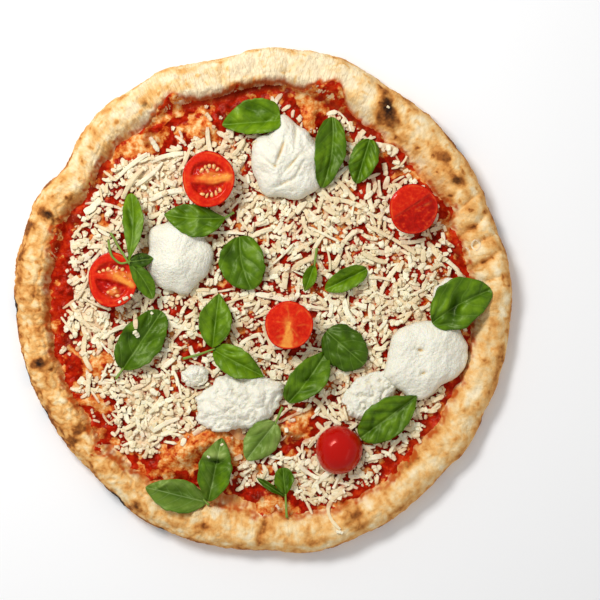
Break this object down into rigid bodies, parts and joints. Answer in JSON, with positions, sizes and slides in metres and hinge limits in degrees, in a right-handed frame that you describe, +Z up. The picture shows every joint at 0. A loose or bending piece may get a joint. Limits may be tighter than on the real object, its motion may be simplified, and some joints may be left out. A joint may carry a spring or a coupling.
{
  "type": "margherita pizza",
  "caption": "Round pizza with a raised uneven browned rim, tomato sauce, grated cheese, soft mozzarella, halved cherry tomatoes and basil leaves.",
  "frame": {"origin": "centre of the bounding box on the flat underside", "axes": "+Z up; +Y is the back and +X the right as the pizza is looked down on"},
  "size_m": [0.3012, 0.305, 0.0281],
  "materials": {
    "dough": "baked dough, dry and floury",
    "tomato_sauce": "wet baked tomato sauce",
    "grated_cheese": "soft grated cheese, half melted",
    "soft_cheese": "moist smooth mozzarella",
    "tomato": "wet cut flesh and glossy skin",
    "basil": "fresh leaf with a slight gloss"
  },
  "bodies": {
    "root": {"crust": "dough", "tomato_sauce": "tomato_sauce", "grated_cheese": "grated_cheese", "mozzarella_back": "soft_cheese", "mozzarella_left": "soft_cheese", "mozzarella_front": "soft_cheese", "mozzarella_right": "soft_cheese", "mozzarella_crumb": "soft_cheese", "tomato_1": "tomato", "tomato_2": "tomato", "tomato_3": "tomato", "tomato_4": "tomato", "tomato_5": "tomato", "basil_01": "basil", "basil_02": "basil", "basil_03": "basil", "basil_04": "basil", "basil_05": "basil", "basil_06": "basil", "basil_07": "basil", "basil_08": "basil", "basil_09": "basil", "basil_10": "basil", "basil_11": "basil", "basil_12": "basil", "basil_13": "basil", "basil_14": "basil", "basil_15": "basil", "basil_16": "basil", "basil_17": "basil"}
  },
  "joints": []
}
